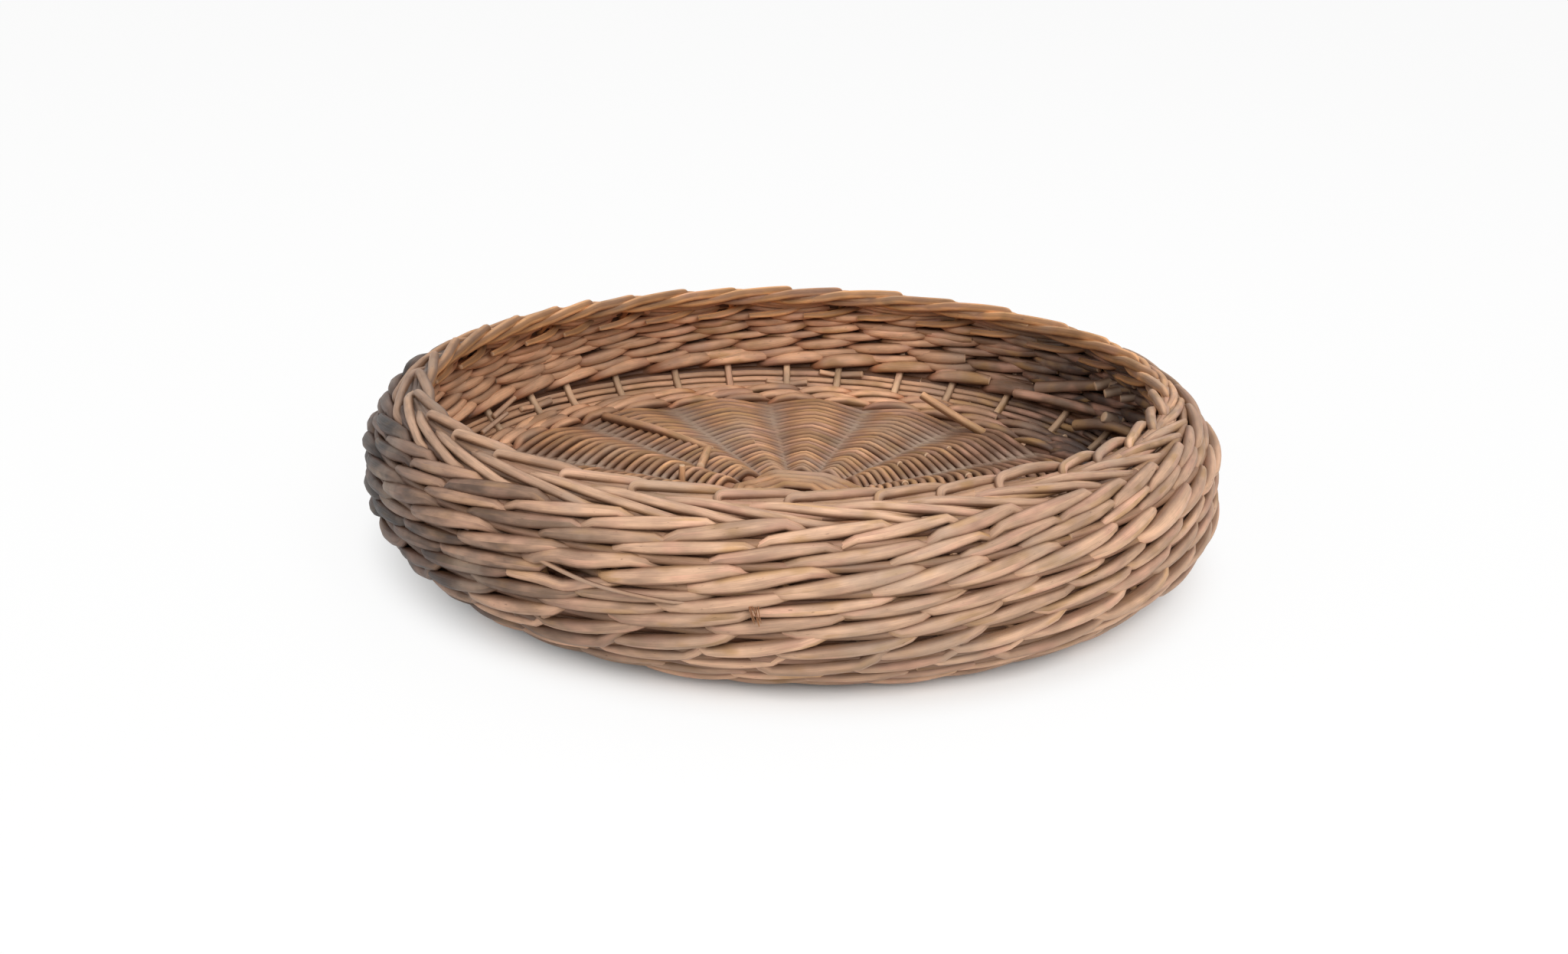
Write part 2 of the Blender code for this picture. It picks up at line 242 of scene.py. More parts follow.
def on_wall(sizes, angle, length, out=0.0):
    """Points on the wall and the way out at each, for angles in radians, lengths up and offsets out."""
    lengths, radii, heights, out_r, out_z = wall_profile(sizes)
    radius, height, way_r, way_z = (
        np.interp(length, lengths, column) for column in (radii, heights, out_r, out_z)
    )
    share = (height - sizes.base_height) / (sizes.rim_height - sizes.base_height)
    oval = sizes.oval_depth * np.cos(2 * (angle - math.radians(sizes.oval_direction)))
    across = radius + oval * share + way_r * out
    rise = sizes.rim_rise_x * np.cos(angle) + sizes.rim_rise_y * np.sin(angle)
    return around(across, angle, height + rise * share + way_z * out), around(way_r, angle, way_z)


def rim_length(sizes):
    """Length of the wall's middle from the foot to the top of the stakes."""
    return wall_profile(sizes)[0][-2]


def stake_angle(sizes, place):
    """Angles, in radians, of places counted in stakes. The stakes aren't quite even."""
    drift = np.random.default_rng(sizes.seed).normal(0, 0.55, sizes.stakes)
    for stake, measured in STAKE_DRIFT.items():
        drift[stake] = measured
    drift = np.append(drift, drift[0])
    uneven = np.interp(np.mod(place, sizes.stakes), np.arange(sizes.stakes + 1), drift)
    return np.radians(360 / sizes.stakes * (place + 0.5) + sizes.turn + uneven)


def rib_angle(sizes, place):
    """Angles, in radians, of places counted in ribs, of which there are half as many as stakes."""
    return np.radians(720 / sizes.stakes * (place + 0.5) + sizes.turn)


def crown_height(sizes, radius):
    """Height of the base's middle at a radius."""
    return sizes.base_height + sizes.base_crown * (1 - np.minimum(radius / sizes.base_radius, 1) ** 2)


def wander(generator, turns, size):
    """A smooth random drift for an array of turns round the basket."""
    drift = np.zeros_like(turns)
    for wave in range(1, 6):
        drift += generator.normal(0, size / wave) * np.cos(
            math.tau * wave * turns + generator.uniform(0, math.tau)
        )
    return drift


def worn_share(angle, length, reach=1.0):
    """How far into the worn hole's edge places are: above the hole up to 1, below it down to -1."""
    hole_angle, half_width, hole_length, half_height = WORN_HOLE
    aside = (np.mod(np.degrees(angle) - hole_angle + 180, 360) - 180) / (half_width * reach)
    above = (length - hole_length * MILLIMETRE) / (half_height * MILLIMETRE * reach)
    return np.exp(-aside ** 2 - above ** 2) * np.where(above > 0, 1, -1)


# Rods


class Rods:
    """Gathers tapered rods into one mesh, with a UV map in metres along and round each rod."""

    def __init__(self, sides):
        self.sides = sides
        self.points, self.uvs, self.faces = [], [], []
        self.layers = {label: [] for label in ("tone", "out", "cut", "dust", "deep")}
        self.count = 0

    def add(
        self, path, way, radius, tone, face=0.0, span=1.0, dust=0.0, flat=1.0, deep=None, edge=0.78,
        edge_power=4, dark_inside=0.0
    ):
        """A rod along a path, whose radius may change. Flat is its thickness over its width.

        Face says how far out of the weave its middle lies, from -1 inside to 1 outside, and span is what its
        own roundness adds to that. Dust is how much dust lies on it. Painted shade, where given, is how dark
        it is painted for lying far into the weave; otherwise that painted shade follows from how far out it
        faces. Edge is the shade painted on its flanks, edge power how narrow that painted shade is, and dark
        inside the shade painted on its inner side.
        """
        path = np.asarray(path, float)
        radius, face, span, dust, flat = (
            np.broadcast_to(np.asarray(value, float), len(path)) for value in (radius, face, span, dust, flat)
        )
        along = np.gradient(path, axis=0)
        along /= np.linalg.norm(along, axis=1)[:, None]
        up = way - (way * along).sum(1)[:, None] * along
        up /= np.linalg.norm(up, axis=1)[:, None]
        side = np.cross(along, up)
        # A narrow last ring at each end makes the cut face's edge, and is otherwise as the knot beside it
        lip = np.minimum(radius[[0, -1]] * 0.2, 0.0005)
        path = np.vstack([path[0] - along[0] * lip[0], path, path[-1] + along[-1] * lip[1]])
        radius = np.concatenate([[radius[0] * 0.8], radius, [radius[-1] * 0.8]])
        rings = len(path)
        knot = np.clip(np.arange(rings) - 1, 0, rings - 3)
        up, side, face, span, dust, flat = (a[knot] for a in (up, side, face, span, dust, flat))
        turn = np.linspace(0, math.tau, self.sides, endpoint=False)
        high = radius[:, None] * np.cos(turn) * flat[:, None]
        wide = radius[:, None] * np.sin(turn)
        ring = path[:, None] + high[..., None] * up[:, None] + wide[..., None] * side[:, None]
        self.points.append(ring.reshape(-1, 3))
        out = face[:, None] + span[:, None] * np.cos(turn)
        # Unless given, the painted shade follows from how far out each side of the rod faces, darkest in the
        # middle of the weave
        if deep is None:
            deep = np.clip((0.50 - np.abs(out)) / 0.44, 0, 1)
        else:
            deep = np.broadcast_to(np.asarray(deep, float), rings - 2)[knot, None]
        # Shade is also painted on a rod's flanks, where they meet the next rod, and, where asked, on its
        # inner side
        flank_shade = np.maximum(edge * np.abs(np.sin(turn)) ** edge_power, dark_inside * (np.cos(turn) < 0))
        cut = np.zeros((rings, 1))
        cut[[0, -1]] = 1
        values = (tone, out, cut, dust[:, None], np.maximum(deep, flank_shade))
        for layer, value in zip(self.layers.values(), values):
            layer.append(np.broadcast_to(value, out.shape).reshape(-1))
        first = self.count + self.sides * np.arange(rings - 1)[:, None]
        here = np.arange(self.sides)
        after = (here + 1) % self.sides
        quads = np.stack([
            first + here, first + after, first + self.sides + after, first + self.sides + here
        ], axis=-1).reshape(-1, 4)
        run = np.concatenate([[0], np.cumsum(np.linalg.norm(np.diff(path, axis=0), axis=1))])
        girth = math.tau * float(radius.max()) / self.sides
        across = np.stack([here, here + 1, here + 1, here], axis=-1) * girth
        lengths = np.stack([run[:-1], run[:-1], run[1:], run[1:]], axis=-1)
        uv = np.stack(np.broadcast_arrays(lengths[:, None, :], across[None]), axis=-1)
        # Each rod's pattern starts at another place
        uv += np.array([7.3, 1.7]) * tone
        self.faces.append(quads)
        self.uvs.append(uv.reshape(-1, 2))
        start, end = self.count + here[::-1], self.count + (rings - 1) * self.sides + here
        for cap in (start, end):
            self.faces.append(cap[None])
            self.uvs.append(np.full((self.sides, 2), tone))
        self.count += rings * self.sides

    def piece(self, name, material):
        """The gathered rods as one object at the origin."""
        mesh = bpy.data.meshes.new(name)
        points = np.concatenate(self.points)
        sizes = np.concatenate([np.full(len(block), block.shape[1]) for block in self.faces])
        corners = np.concatenate([block.reshape(-1) for block in self.faces])
        mesh.vertices.add(len(points))
        mesh.vertices.foreach_set("co", points.astype(np.float32).ravel())
        mesh.loops.add(len(corners))
        mesh.loops.foreach_set("vertex_index", corners.astype(np.int32))
        mesh.polygons.add(len(sizes))
        starts = np.concatenate([[0], np.cumsum(sizes)[:-1]])
        mesh.polygons.foreach_set("loop_start", starts.astype(np.int32))
        mesh.uv_layers.new(name="rod")
        mesh.uv_layers["rod"].data.foreach_set("uv", np.concatenate(self.uvs).astype(np.float32).ravel())
        for label, values in self.layers.items():
            layer = mesh.attributes.new(label, "FLOAT", "POINT")
            layer.data.foreach_set("value", np.concatenate(values).astype(np.float32))
        mesh.update(calc_edges=True)
        mesh.validate()
        mesh.shade_smooth()
        mesh.set_sharp_from_angle(angle=math.radians(50))
        piece = bpy.data.objects.new(name, mesh)
        bpy.context.scene.collection.objects.link(piece)
        mesh.materials.append(material)
        return piece


def smooth_path(points, spacing, carried=None):
    """A smooth curve through points, sampled about every spacing. What is carried is known at each point."""
    points = np.asarray(points, float)
    knots = np.concatenate([[0], np.cumsum(np.linalg.norm(np.diff(points, axis=0), axis=1) ** 0.5)])
    slopes = np.gradient(points, knots, axis=0, edge_order=1)
    path, shares = [], []
    for i in range(len(points) - 1):
        span = knots[i + 1] - knots[i]
        steps = max(2, int(np.linalg.norm(points[i + 1] - points[i]) / spacing))
        t = np.linspace(0, 1, steps, endpoint=i == len(points) - 2)
        shares.append(knots[i] + t * span)
        t = t[:, None]
        path.append(
            (2 * t ** 3 - 3 * t ** 2 + 1) * points[i] + (t ** 3 - 2 * t ** 2 + t) * span * slopes[i]
            + (3 * t ** 2 - 2 * t ** 3) * points[i + 1] + (t ** 3 - t ** 2) * span * slopes[i + 1]
        )
    path = np.vstack(path)
    if carried is None:
        return path
    shares = np.concatenate(shares)
    return path, np.stack([np.interp(shares, knots, column) for column in np.asarray(carried).T], axis=-1)


# Materials


def add_node(tree, kind, inputs=None, **settings):
    """A node with its settings, and inputs that are values or other nodes' sockets."""
    node = tree.nodes.new(kind)
    for name, value in settings.items():
        setattr(node, name, value)
    for name, value in (inputs or {}).items():
        socket = node.inputs[name]
        if isinstance(value, bpy.types.NodeSocket):
            tree.links.new(value, socket)
        else:
            socket.default_value = value
    return node


def opaque(colour):
    return (*colour, 1)


def smooth_step(tree, value, low, high, start=0.0, end=1.0):
    """A value that goes smoothly from start to end as another goes from low to high."""
    return add_node(
        tree, "ShaderNodeMapRange",
        {"Value": value, "From Min": low, "From Max": high, "To Min": start, "To Max": end},
        interpolation_type="SMOOTHSTEP",
    ).outputs["Result"]


def willow(name, colours, top, under, sides=(0.0, 0.0, 0.0, 0.0), rod_range=(0.86, 1.10), pale=0.0, back=0.0):
    """Aged willow rods: satin, with fine long fibres, pale ridges that are partly worn and partly a painted
    highlight, dust, dirt specks, and painted shade between rods.

    Top and under are the colours of what faces out of the weave and of what faces in. Sides is how far the
    left outside has gone grey, partly weathered and partly painted shade, and how far it is darkened by
    painted shade on grey skin, then how far the right inside is darkened by painted shade and stain, and how
    far the right base is darkened by painted shade and stain. Rod range is how dark and how light single rods
    are, and pale is how far what faces in low down keeps the cream of peeled willow. Back is how far the
    back, turned to the light, is as under.
    """
    material = bpy.data.materials.new(name)
    material.use_nodes = True
    tree = material.node_tree
    shader = tree.nodes["Principled BSDF"]
    place = add_node(tree, "ShaderNodeTexCoord").outputs["Object"]
    along = add_node(tree, "ShaderNodeUVMap", uv_map="rod").outputs["UV"]
    ramp = partial(smooth_step, tree)
    tone, out, cut, dust, deep = (
        add_node(tree, "ShaderNodeAttribute", attribute_name=label).outputs["Fac"]
        for label in ("tone", "out", "cut", "dust", "deep")
    )

    def blend(share, first, second, kind="MIX"):
        return add_node(
            tree, "ShaderNodeMix", {0: share, 6: first, 7: second}, data_type="RGBA", blend_type=kind
        ).outputs[2]

    def times(first, second, added=0.0):
        inputs = {0: first, 1: second, 2: added}
        return add_node(tree, "ShaderNodeMath", inputs, operation="MULTIPLY_ADD").outputs[0]

    def noise(vector, stretch, detail=3.0):
        mapped = add_node(tree, "ShaderNodeMapping", {"Vector": vector, "Scale": stretch}).outputs["Vector"]
        return add_node(
            tree, "ShaderNodeTexNoise", {"Vector": mapped, "Scale": 1.0, "Detail": detail}
        ).outputs["Fac"]

    # Along a rod, fibres are about 0.4 mm wide and 15 mm long, mottles and blushes 10 to 30 mm long and
    # specks 2 to 4 mm. Patches across the weave are 20 to 60 mm across
    fibres = noise(along, (60, 2500, 1), 2.0)
    mottles = noise(along, (55, 120, 1))
    blushes = noise(along, (38, 60, 1), 2.0)
    specks = noise(along, (260, 700, 1))
    patches = noise(place, (28, 28, 28), 4.0)

    x, y, z = add_node(tree, "ShaderNodeSeparateXYZ", {"Vector": place}).outputs
    # Ridges that face out are paler, partly rubbed and partly a painted highlight
    outer = blend(ramp(out, 0.45, 0.98), opaque(top[0]), opaque(top[1]))
    outer = blend(ramp(y, -0.06, 0.08, 0.0, back), outer, opaque(under[1]))
    # Far left the outside turns grey, partly weathered skin and partly painted shade
    outer = blend(ramp(x, -0.12, -0.185, 0.0, sides[0]), outer, opaque(colours.outside_grey_and_shade))
    # Over the left, painted shade darkens the outside, laid on grey skin that differs from rod to rod: nearly
    # black painted shade in the grooves, and bluish on the ridges, partly rubbed and partly a painted
    # highlight
    kept = times(mottles, 1.2, tone)
    rubbed = times(ramp(kept, 0.65, 1.50), ramp(out, 0.25, 0.92))
    grey_skin_and_shade = blend(rubbed, opaque(GROOVE_SHADE_ON_GREY), opaque(RIDGE_WEAR_AND_HIGHLIGHT_ON_GREY))
    outer = blend(ramp(x, -0.02, -0.15, 0.0, sides[1]), outer, grey_skin_and_shade, "MULTIPLY")
    # Painted shade, partly stain, darkens the right of the base
    outer = blend(ramp(x, 0.01, 0.12, 0.0, sides[3]), outer, opaque(RIGHT_SHADE_AND_STAIN), "MULTIPLY")
    # Ridges that face in are paler, partly worn and partly a painted highlight
    inner = blend(ramp(out, -0.45, -0.95), opaque(under[0]), opaque(under[1]))
    inner = blend(ramp(z, 0.048, 0.036, 0.0, pale), inner, opaque(colours.cut_end))
    # Painted shade, partly stain, darkens the inside at the right
    inner = blend(ramp(x, 0.04, 0.15, 0.0, sides[2]), inner, opaque(colours.inside_stain_and_shade))
    colour = blend(ramp(out, -0.12, 0.22), inner, outer)
    # The grey left side has lost most of its pink and yellow places
    fresh = ramp(x, -0.16, -0.03, 0.2, 1.0)
    colour = blend(times(ramp(blushes, 0.50, 0.66, 0.0, 0.60), fresh), colour, opaque(colours.blush))
    colour = blend(times(ramp(blushes, 0.46, 0.32, 0.0, 0.62), fresh), colour, opaque(colours.ochre))
    # Each rod has its own tone, with fine streaks and mottles in it
    rod_tone = ramp(tone, 0.0, 1.0, *rod_range)
    streak = ramp(fibres, 0.3, 0.7, 0.88, 1.08)
    level = times(times(rod_tone, streak), ramp(mottles, 0.3, 0.7, 0.76, 1.18))
    shade = add_node(tree, "ShaderNodeCombineXYZ", {"X": level, "Y": level, "Z": level}).outputs["Vector"]
    colour = blend(1.0, colour, shade, "MULTIPLY")
    # Dust in patches and in grooves, dirt in specks, painted shade between the rods, and pale wood where they
    # are cut
    for share, paint in (
        (ramp(patches, 0.52, 0.70, 0.0, 0.42), colours.dust),
        (times(dust, ramp(patches, 0.30, 0.60, 0.45, 1.0)), colours.dust),
        (ramp(specks, 0.66, 0.76, 0.0, 0.5), colours.crevice_shade_and_dirt),
        (ramp(deep, 0.05, 1.0, 0.0, 0.88), colours.crevice_shade_and_dirt),
        (times(cut, 0.8), colours.cut_end),
    ):
        colour = blend(share, colour, opaque(paint))
    tree.links.new(colour, shader.inputs["Base Color"])
    tree.links.new(ramp(fibres, 0.2, 0.8, 0.44, 0.66), shader.inputs["Roughness"])
    shader.inputs["Specular IOR Level"].default_value = 0.4
    relief = times(mottles, 1.6, fibres)
    bump = add_node(tree, "ShaderNodeBump", {"Height": relief, "Strength": 0.4, "Distance": 0.0005})
    tree.links.new(bump.outputs["Normal"], shader.inputs["Normal"])
    return material


def finish(piece, nodes):
    """Parents a finished piece to what it rides on, and hides the CAD nodes it stands for."""
    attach(piece, "root")
    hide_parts(*nodes)


# Pieces


class PieceOperator:
    """What the operators that add pieces share: each builds them from the sizes and colours."""

    def execute(self, context):
        self.build(context.scene.basket_sizes, context.scene.basket_colours)
        return {"FINISHED"}


class BASKET_OT_sticks(PieceOperator, bpy.types.Operator):
    """Add the nine base sticks: four split ones and five threaded through them"""

    bl_idname = "basket.sticks"
    bl_label = "Base sticks"

    def build(self, sizes, colours):
        # Satin red brown wood, golden brown on top
        material = willow(
            "split willow, shaved", colours, (colours.inside, colours.base), (colours.inside, colours.base)
        )
        pitch = sizes.stick_width + STICK_GAP
        half_round = sizes.stakes // 4
        # How many sticks lie together, the rib that the first one makes, and how many they cross
        groups = (("split_stick", 4, -2, 5), ("threaded_stick", 5, 2, 4))
        generator = np.random.default_rng(sizes.seed + 1)
        for label, count, first_rib, other in groups:
            half_slath = other * pitch / 2
            axis = rib_angle(sizes, first_rib + (count - 1) / 2)
            ahead = np.array([math.cos(axis), math.sin(axis)])
            across = np.array([-ahead[1], ahead[0]])
            thick = sizes.slath_thickness if label == "split_stick" else SHAVED_THICKNESS
            for place in range(count):
                aside = across * (place - (count - 1) / 2) * pitch
                ends = []
                for rib, way in (
                    (first_rib + place, 1), (first_rib + half_round + count - 1 - place, -1)
                ):
                    angle = rib_angle(sizes, rib)
                    reach = np.array([math.cos(angle), math.sin(angle)])
                    ends.append([aside + ahead * way * half_slath * share for share in (0.3, 1.0)]
                                + [reach * radius for radius in (0.028, 0.075, 0.115, sizes.base_radius)])
                flat_path = smooth_path(np.array(ends[1][::-1] + ends[0]), 0.004)
                radius = np.linalg.norm(flat_path, axis=1)
                path = np.column_stack([flat_path, crown_height(sizes, radius)])
                # Over the last 8 mm before the crossing a stick swells, or is shaved thin
                near = np.clip((half_slath + 0.008 - np.abs(flat_path @ ahead)) / 0.008, 0, 1)
                flat = (sizes.stick_thickness + (thick - sizes.stick_thickness) * near) / sizes.stick_width
                rods = Rods(14)
                # The sticks are pressed side by side, so each is drawn a hair wider
                rods.add(path, upward(path), sizes.stick_width * 0.53, generator.uniform(0.3, 0.8),
                         face=0.1, span=0.8, dust=0.25, flat=flat)
                node = f"{label}_{place + 1}"
                finish(rods.piece(node + "_shaved", material), [node])


class BASKET_OT_base_weave(PieceOperator, bpy.types.Operator):
    """Add the base weave: two rods at a time, paired round the ribs"""

    bl_idname = "basket.base_weave"
    bl_label = "Base weave"

    def build(self, sizes, colours):
        # Golden brown rods with paler ridges, partly worn and partly a painted highlight, darkened at the
        # left by painted shade on grey skin and at the right by painted shade, partly stain
        material = willow(
            "paired willow, dusty", colours, (colours.base, colours.base_worn_and_lit),
            (colours.inside, colours.outside), sides=(0.0, 0.35, 0.0, 1.0), rod_range=(0.66, 1.14)
        )
        steps = BASE_ROWS * sizes.stakes // 2
        reach = sizes.weave_end - sizes.weave_start
        generator = np.random.default_rng(sizes.seed + 2)
        for strand, add_rounds in enumerate((self.add_binding, self.add_underside)):
            rods = Rods(8)
            add_rounds(sizes, rods)
            # The binding takes up the first four rows
            start = 2.0 * sizes.stakes
            while start < steps - 1:
                # A rod lasts about a turn and a half, then the next one's butt is laid beside its tip
                end = min(start + generator.integers(21, 29), steps)
                step = np.arange(start, end + 0.8, 1 / POINTS_PER_RIB)
                share = np.clip(step / steps, 0, 1)
                # The rows open out from 4.2 mm apart to 6.3 mm
                radius = sizes.weave_start + reach * share * (0.8 + 0.2 * share)
                pitch = reach / BASE_ROWS * (0.8 + 0.4 * share)
                # Rods are thicker further out, and each thins from butt to tip
                thick = (0.0036 + 0.0012 * share) * np.linspace(1.08, 0.9, len(step))
                lift = (sizes.stick_thickness + thick) / 2
                turn = math.pi * (step + strand)
                # A straight slope from rib to rib, a little rounded over each
                tent = 2 / math.pi * np.arcsin(0.985 * np.cos(turn))
                height = lift * (0.85 * tent + 0.15 * np.cos(turn))
                drift = wander(generator, step / (sizes.stakes // 2), 0.0003)
                radius = radius + np.sin(turn) * pitch * 0.25 + drift
                path = around(radius, rib_angle(sizes, step), crown_height(sizes, radius) + height)
                half = lift + thick / 2
                dust = 0.9 * np.abs(np.sin(turn)) ** 10
                rods.add(path, upward(path), thick / 2, generator.uniform(0, 1), face=height / half + 0.12,
                         span=thick / 2 / half, dust=dust, edge=1.0, edge_power=2)
                start = end
            node = f"base_weaver_{strand + 1}"
            finish(rods.piece(f"base_pairing_{strand + 1}", material), [node])

    def add_binding(self, sizes, rods):
        """The rounds that bind the crossed sticks, squarish, with the last 29 degrees tucked down."""
        turn = np.linspace(0, math.tau * 3.4, 300)
        side = (0.0160 + 0.0052 * turn / math.tau) / (np.cos(turn) ** 4 + np.sin(turn) ** 4) ** 0.25
        over = 0.6 + 0.4 * np.clip(1.5 * np.cos(4 * turn) + 0.9, -1, 1)
        tucked = np.clip((np.degrees(turn) - 1195) / 29, 0, 1)
        level = crown_height(sizes, side) + 0.0046 * over - 0.0070 * tucked
        path = around(side, turn + math.radians(sizes.turn), level)
        rods.add(path, upward(path), 0.0031, 0.35, face=0.65, span=0.3, flat=0.6)

    def add_underside(self, sizes, rods):
        """Two more rounds under the sticks, where these open out."""
        turn = np.linspace(0, 2 * math.tau, 140)
        side = 0.0345 + 0.0030 * turn / math.tau
        path = around(side, turn, crown_height(sizes, side) - 0.0042)
        # Painted shade darkens these rounds, as they lie under the sticks
        rods.add(path, upward(path), 0.0032, 0.1, face=0.3, span=0.3, flat=0.55, deep=0.45)


# The stake's way through the border: places in stakes; in millimetres how far outside and above the rim's
# end; how far out its middle faces, how much shade is painted on it, and its thickness over the stake's
BORDER = (
    (0, 4.9, -3.4, 0.4, 0.3, 0.95), (0, 3.5, -1.5, 0.6, 0.1, 0.93), (0.005, 2.9, 0.2, 0.7, 0.0, 0.96),
    (0.025, 2.6, 1.3, 0.65, 0.0, 1.0), (0.065, 2.2, 1.7, 0.5, 0.0, 1.04), (0.18, 1.3, 1.7, 0.4, 0.0, 1.1),
    (0.5, -0.7, 1.5, 0.3, 0.0, 1.16), (1.0, -2.7, 0.7, 0.2, 0.0, 1.18), (1.25, -2.1, -1.0, 0.1, 0.05, 1.14),
    (1.5, -0.8, -2.4, 0.1, 0.1, 1.12), (2.0, 0.9, -4.1, 0.0, 0.4, 1.1), (2.5, 3.7, -2.8, 0.4, 0.3, 1.08),
    (2.8, 5.9, -1.3, 0.55, 0.05, 1.08),
    (3.0, 7.0, -0.9, 0.55, 0.0, 1.08), (3.5, 8.7, -2.2, 0.6, 0.0, 1.08), (4.0, 10.5, -3.9, 0.55, 0.05, 1.06),
    (4.4, 12.2, -6.0, 0.4, 0.2, 1.04), (4.75, 9.4, -8.8, 0.0, 0.7, 1.0), (5.0, 7.0, -11.4, -0.5, 0.3, 1.0),
    (5.3, 5.6, -13.0, -0.6, 0.0, 0.95), (5.7, 5.4, -13.9, -0.6, 0.0, 0.7),
)


class BASKET_OT_stakes(PieceOperator, bpy.types.Operator):
    """Add the stakes, each turned down into the border at its top"""

    bl_idname = "basket.stakes"
    bl_label = "Stakes and border"

    def build(self, sizes, colours):
        # Bleached outside, golden inside and at the back, and cream low down, where the stakes are peeled
        material = willow(
            "peeled willow stake", colours, (colours.outside, colours.outside_worn_and_lit),
            (colours.golden, colours.golden), sides=(0.4, 0.12, 0.35, 0.0), rod_range=(0.82, 1.12),
            pale=0.9, back=0.85
        )
        generator = np.random.default_rng(sizes.seed + 3)
        rim = rim_length(sizes)
        thick = sizes.stake_thickness
        for stake in range(sizes.stakes):
            # In the base it lies along the side of a rib
            rib = rib_angle(sizes, stake // 2)
            beside = (1 if stake % 2 else -1) * (sizes.stick_width + thick) / 2
            radius = np.array([0.124, 0.136, 0.148])
            base = around(radius, rib, crown_height(sizes, radius))
            base += beside * np.array([-np.sin(rib), np.cos(rib), 0])
            tall = generator.uniform(-0.0006, 0.0006) + 0.0018 * (stake == TALL_STAKE)
            late = generator.uniform(-0.16, 0.16)
            length = np.linspace(0.004, rim - 0.009, 12)
            upright, upright_way = on_wall(sizes, stake_angle(sizes, stake), length)
            place, aside, up, *rest = np.array(BORDER).T
            place = place + late * (place > 2) * (place < 4.5)
            angle = stake_angle(sizes, stake + place)
            rim_end, way = on_wall(sizes, angle, rim)
            points = rim_end + around(aside, angle, up) * MILLIMETRE
            points[:, 2] += tall * (place < 1)
            # What is known at each knot is carried along the smooth path: the way out, and the last columns
            inserted = np.tile([0, 0, 1.0, -0.7, 0.3, 1.0], (len(base), 1))
            standing = np.column_stack([upright_way, np.tile([-0.7, 0.0, 1.0], (len(upright), 1))])
            known = np.vstack([inserted, standing, np.column_stack([way, *rest])])
            path, carried = smooth_path(np.vstack([base, upright, points]), 0.0020, known)
            run = np.linspace(0, 1, len(path))
            rods = Rods(10)
            rods.add(path, carried[:, :3], thick / 2 * carried[:, 5] * (1.03 - 0.10 * run),
                     generator.uniform(0, 1), face=carried[:, 3], span=0.5, deep=carried[:, 4])
            node = f"stake_{stake + 1:02d}"
            finish(rods.piece(node + "_willow", material), [node])


